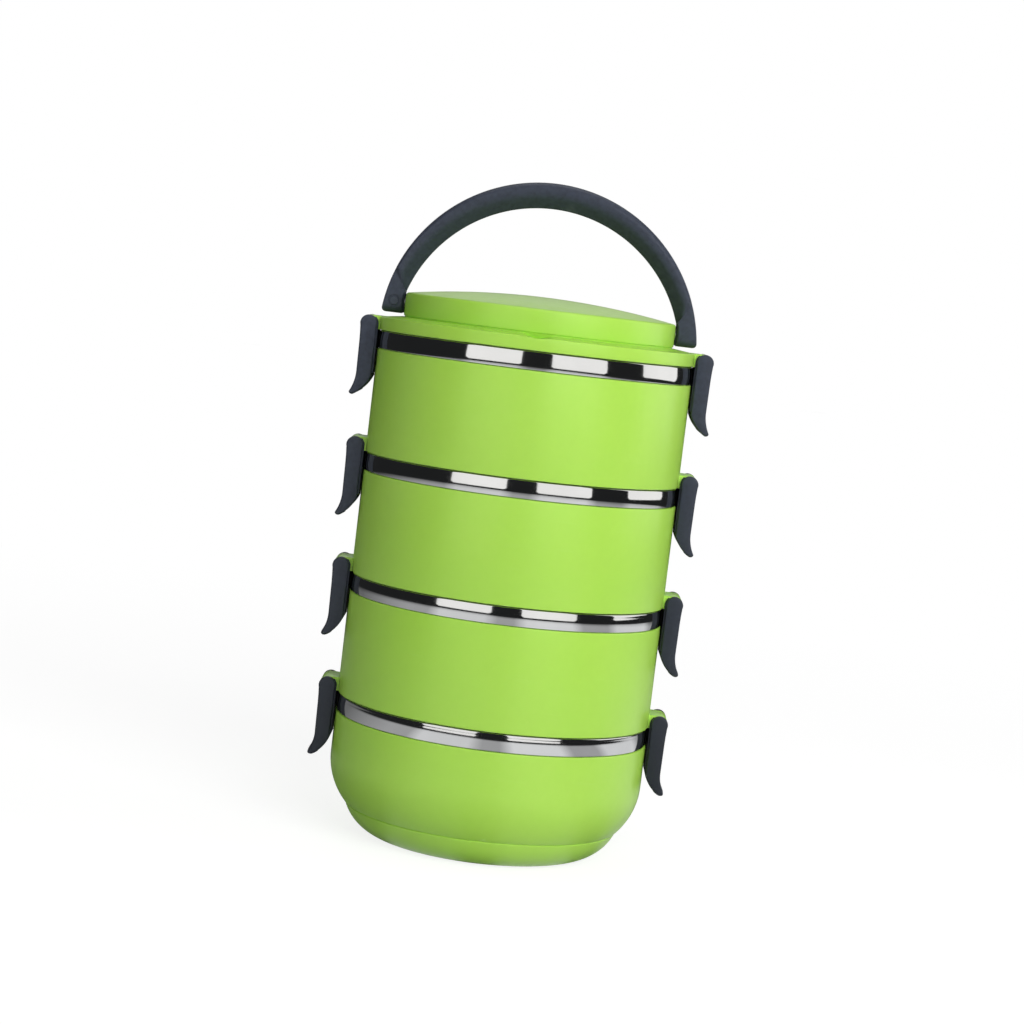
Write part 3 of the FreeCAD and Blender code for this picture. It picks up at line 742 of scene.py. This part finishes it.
def latch(side, tier):
    """Latch about its pivot: cheeks, hinge window, catch recess and flared tip."""
    face, back, top = 3.8, 3.75, 3.95       # distances from the pivot, at x, -x and z
    bend, heel, length, tip, rounded = 22.4, 24.0, 33.2, 5.95, 3.0
    shoulder = -math.sqrt(top ** 2 - face ** 2)
    rear = -math.sqrt(top ** 2 - back ** 2)
    crown = arc((-back, rear), (0.0, top), (face, shoulder), 18)
    front = arc((face - 0.3, -bend), (face + 0.5, -bend - 5.6), (tip, -length + 1.2), 12)
    nose = arc((tip, -length + 1.2), (tip - 0.5, -length + 0.2), (tip - 1.75, -length), 6)
    rise = arc((tip - 1.75, -length), (-back + 3.15, -heel - 5.3), (-back, -heel), 14)
    down = [(face - 0.3 * i / 6, shoulder + (-bend - shoulder) * i / 6) for i in range(6)]
    up = [(-back, -heel + (rear + heel) * i / 6) for i in range(6)]
    outline = crown + down + front + nose + rise + up
    piece = slab("latch", outline, LATCH_HALF, 0.8,
                 across=(-9.0, -6.0, -3.0, 0.0, 3.0, 6.0, 9.0))
    for vert in piece.data.vertices:
        x, y, z = (value / MM for value in vert.co)
        if x > 1.0:
            vert.co.x -= 0.35 * (y / LATCH_HALF) ** 2 * min(1.0, -min(z, 0.0) / 6.0) * MM
        low = z + length
        if low < rounded:
            drop = rounded - max(low, 0.0)
            narrow = rounded - math.sqrt(max(rounded ** 2 - drop ** 2, 0.0))
            vert.co.y *= 1 - narrow / LATCH_HALF
    window = slab("window", [(-9.0, -2.8), (-9.0, 9.0), (9.0, 9.0), (9.0, -2.8)]
                  + arc((2.93, -2.8), (0.0, -4.05), (-2.93, -2.8), 12)
                  + [(-2.93, -2.8)], WINDOW_HALF, 0.25)
    combine(piece, window, "DIFFERENCE")
    catch = slab("catch", [(-9.0, -11.4), (-9.0, -1.8), (-3.05, -1.8), (-3.05, -11.4)],
                 WINDOW_HALF, 0.25)
    combine(piece, catch, "DIFFERENCE")
    # dark ribs in the gaps beside the ear, put there so the gaps read as shade
    for sign in (1, -1):
        combine(piece, gap_shade_rib(back, heel, RIB_PLACE * sign), "UNION")
    piece.name = "latch_plate_%s_%d" % (side, tier)
    piece.data.name = piece.name
    place_on(piece, PIVOTS["latch_%s_%d_hinge" % (side, tier)], 1 if side == "right" else -1)
    crisp(piece, 34)
    return piece


def gap_shade_rib(back, heel, place):
    """Narrow rib behind a latch's cheek that closes the gap to the wall: a dark part put there so
    that the gap, and the ear's face beside it, read as shade.
    """
    reach = back + RIB_PROUD
    nose = [(-reach * math.cos(math.radians(turn)), reach * math.sin(math.radians(turn)))
            for turn in range(0, 50, 6)]
    rib = slab("rib", [(-reach, -heel + 1.6), (-reach, -heel / 2)] + nose
               + [(-1.4, 2.2), (-1.4, -heel + 1.6)], 0.6, 0.15)
    rib.data.transform(Matrix.Translation((0.0, place * MM, 0.0)))
    return rib


# ---------------------------------------------------------------- assembly

def fit(piece, body, node, material):
    paint(piece, material)
    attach(piece, body)
    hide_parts(node)


def build_pieces():
    for tier in range(1, TIERS + 1):
        body = "tier_%d" % tier
        shell = bottom_shell() if tier == 1 else upper_shell(tier)
        fit(shell, body, "bowl_shell_%d" % tier, GREEN)
        fit(steel_bowl(tier), body, "steel_bowl_%d" % tier, BAND_STEEL)
        for side in SIDES:
            name = "latch_%s_%d" % (side, tier)
            fit(latch(side, tier), name + "_body", name, SLATE)
    fit(lid(), "lid", "lid_shell", GREEN)
    fit(handle(), "carry_handle", "handle", SLATE)


# ---------------------------------------------------------------- carried-over nodes

def material_of(node):
    if "seal" in node:
        return SILICONE
    if "pin" in node:
        return PIN_STEEL
    if "latch" in node or node == "handle":
        return SLATE
    if "steel" in node:
        return BAND_STEEL
    return GREEN


for node, piece in frame["nodes"].items():
    for index in range(len(piece.material_slots)):
        piece.material_slots[index].material = material_of(node)


# ---------------------------------------------------------------- stage

ROOM_RADIUS = 7.0
FADE_IN, FADE_OUT = 0.25, 1.0           # where the floor's shadow fades, from the axis
TABLE_RADIUS = 1.12
PANEL_DISTANCE, PANEL_TOP, PANEL_GLOW = 1.15, 1.3, 1.34
# softboxes: start and end azimuth, lower edge, and the strength of the painted pool of light under
# each on the glowing table disc
PANELS = {"panel_left": (-49.0, -9.0, 0.057, 0.46), "panel_right": (12.0, 52.0, 0.057, 0.56),
          "panel_side": (83.0, 124.0, 0.11, 0.45)}
# lamps: azimuth, elevation, distance, size and power
LIGHTS = {"key": (24, 24, 1.7, (1.3, 1.0), 25.0), "side": (100, 18, 1.6, (1.0, 0.9), 4.6),
          "fill": (-95, 12, 1.6, (1.0, 0.9), 4.2), "back": (185, 14, 1.6, (1.0, 0.9), 4.5),
          "top": (0, 88, 1.9, (1.8, 1.8), 6.5)}
LIGHT_AIM = Vector((0.0, 0.0, 0.13))


def away_from_middle(n):
    """Distance of a point from the vertical axis, and its azimuth from the front in
    degrees, positive to the right."""
    parts = n.add("ShaderNodeSeparateXYZ", (0, n.place)).outputs
    across = n.math("MULTIPLY", parts[0], parts[0])
    radius = n.math("SQRT", n.math("MULTIPLY_ADD", parts[1], parts[1], across))
    turn = n.math("ARCTAN2", parts[0], n.math("MULTIPLY", parts[1], -1.0))
    return radius, n.math("MULTIPLY", turn, 180.0 / math.pi)


def floor_material():
    """Pale floor, nearly white, that keeps only a faint shadow close to the object."""
    n = Nodes("floor_white")
    radius, _ = away_from_middle(n)
    cloud = n.span(n.noise(3.0, 2.0), 0.3, 0.7)
    tone = n.mix(cloud, (0.29, 0.29, 0.29, 1), (0.31, 0.31, 0.31, 1))
    n.set(Base_Color=n.mix(n.span(radius, FADE_IN, FADE_OUT), tone, (0, 0, 0, 1)), Roughness=0.7)
    n.set(Specular_IOR_Level=0.0, Emission_Color=(1, 1, 1, 1),
          Emission_Strength=n.span(radius, FADE_IN, FADE_OUT, 0.83, 1.0))
    return n.material


def bounce_material():
    """The light that the floor throws back up at the object."""
    n = Nodes("floor_bounce")
    n.set(Base_Color=(0.62, 0.62, 0.62, 1), Roughness=0.9, Specular_IOR_Level=0.0)
    return n.material


def table_material():
    """Painted reflection of the lit table, seen by polished metal alone: a glowing grey disc with
    painted pools of light under each softbox, painted shade to the left and behind, and a painted
    contact shadow at the object's foot.
    """
    n = Nodes("table_reflection")
    radius, turn = away_from_middle(n)
    # painted shade on the glowing table: darker to the left and behind the object, and fading with
    # distance
    behind = n.math("MINIMUM", n.span(turn, 125.0, 165.0, 1.0, 0.3),
                    n.span(turn, -125.0, -70.0, 0.36, 1.0))
    glow = n.math("MULTIPLY", n.span(radius, 0.70, TABLE_RADIUS, 0.56, 0.16), behind)
    # painted shade far behind the object
    far = n.span(n.math("ABSOLUTE", turn), 152.0, 172.0, 1.0, 0.12)
    # painted contact shadow close to the object's foot
    under = n.span(radius, 0.10, 0.20, 0.25, 1.0)
    glow = n.math("MULTIPLY", n.math("MULTIPLY", glow, far), under)
    # painted pools of light under each softbox
    for start, end, _, shine in PANELS.values():
        middle, half = (start + end) / 2, (end - start) / 2
        off = n.math("ABSOLUTE", n.math("SUBTRACT", turn, middle))
        lobe = n.span(off, half + 5.0, half - 4.0)
        glow = n.math("MULTIPLY_ADD", lobe, shine, glow)
    n.set(Base_Color=(0, 0, 0, 1), Specular_IOR_Level=0.0,
          Emission_Color=(0.95, 0.97, 1.0, 1), Emission_Strength=glow)
    return n.material


def glow_material(name, strength):
    n = Nodes(name)
    n.set(Base_Color=(0, 0, 0, 1), Roughness=1.0, Specular_IOR_Level=0.0,
          Emission_Color=(1, 1, 1, 1), Emission_Strength=strength)
    return n.material


def disc(name, radius, height, material):
    count = 128
    verts = [(radius * math.cos(math.tau * i / count), radius * math.sin(math.tau * i / count),
              height) for i in range(count)]
    piece = new_object(name, verts, [list(range(count))])
    paint(piece, material)
    return piece


def show_to(piece, camera=True, glossy=True, diffuse=True, shadow=True):
    piece.visible_camera = camera
    piece.visible_glossy = glossy
    piece.visible_diffuse = diffuse
    piece.visible_shadow = shadow
    piece.visible_transmission = camera


def backdrop():
    """A white room seen by the camera alone."""
    count, rows = 96, 24
    verts, faces = [], []
    for row in range(rows + 1):
        rise = math.pi / 2 * row / rows
        for i in range(count):
            angle = math.tau * i / count
            verts.append((ROOM_RADIUS * math.cos(angle) * math.cos(rise),
                          ROOM_RADIUS * math.sin(angle) * math.cos(rise),
                          ROOM_RADIUS * math.sin(rise)))
    for row in range(rows):
        for i in range(count):
            j = (i + 1) % count
            faces.append((row * count + i, row * count + j,
                          (row + 1) * count + j, (row + 1) * count + i))
    piece = new_object("backdrop", verts, faces)
    paint(piece, glow_material("backdrop_white", 1.0))
    show_to(piece, glossy=False, diffuse=False, shadow=False)


def panel(name, azimuth, low, high, distance, strength):
    """A softbox that only reflections see.  Azimuths are in degrees from the camera's
    side towards the right; the panel is curved about the object."""
    start, end = azimuth
    corner = 0.05
    steps = 24
    verts, faces = [], []
    for i in range(steps + 1):
        t = i / steps
        along = t * math.radians(end - start) * distance
        total = math.radians(end - start) * distance
        inset = min(along, total - along)
        cut = 0.0
        if inset < corner:
            cut = corner - math.sqrt(max(corner ** 2 - (corner - inset) ** 2, 0.0))
        angle = math.radians(start + (end - start) * t)
        x, y = distance * math.sin(angle), -distance * math.cos(angle)
        verts.append((x, y, low + cut))
        verts.append((x, y, high - cut))
    for i in range(steps):
        faces.append((2 * i, 2 * i + 2, 2 * i + 3, 2 * i + 1))
    piece = new_object(name, verts, faces)
    paint(piece, glow_material(name + "_glow", strength))
    show_to(piece, camera=False, diffuse=False, shadow=False)


def soft_light(name, azimuth, elevation, distance, size, power):
    data = bpy.data.lights.new(name, "AREA")
    data.shape = "RECTANGLE"
    data.size, data.size_y = size
    data.energy = power
    light = bpy.data.objects.new(name, data)
    bpy.context.scene.collection.objects.link(light)
    turn, rise = math.radians(azimuth), math.radians(elevation)
    away = Vector((math.sin(turn) * math.cos(rise), -math.cos(turn) * math.cos(rise),
                   math.sin(rise)))
    light.location = LIGHT_AIM + away * distance
    light.rotation_euler = (-away).to_track_quat("-Z", "Y").to_euler()
    light.visible_camera = False
    light.visible_glossy = False


def build_stage():
    show_to(disc("floor", ROOM_RADIUS, 0.0, floor_material()),
            glossy=False, diffuse=False, shadow=False)
    show_to(disc("bounce", ROOM_RADIUS, -0.0002, bounce_material()),
            camera=False, glossy=False, shadow=False)
    show_to(disc("table", TABLE_RADIUS, -0.0005, table_material()),
            camera=False, diffuse=False, shadow=False)
    backdrop()
    for name, (start, end, low, _) in PANELS.items():
        panel(name, (start, end), low, PANEL_TOP, PANEL_DISTANCE, PANEL_GLOW)
    panel("panel_behind", (145, 215), 0.62, 2.2, 2.4, 0.8)
    show_to(disc("panel_top", 0.9, 1.9, glow_material("panel_top_glow", 1.9)),
            camera=False, diffuse=False, shadow=False)
    for name, settings in LIGHTS.items():
        soft_light(name, *settings)
    world = bpy.data.worlds.new("room")
    bpy.context.scene.world = world
    world.use_nodes = True
    shade = world.node_tree.nodes["Background"]
    shade.inputs["Color"].default_value = (0.9, 0.95, 1.0, 1)
    shade.inputs["Strength"].default_value = 0.022
    bpy.context.scene.view_settings.view_transform = "Standard"


build_stage()
build_pieces()

bpy.context.view_layer.update()
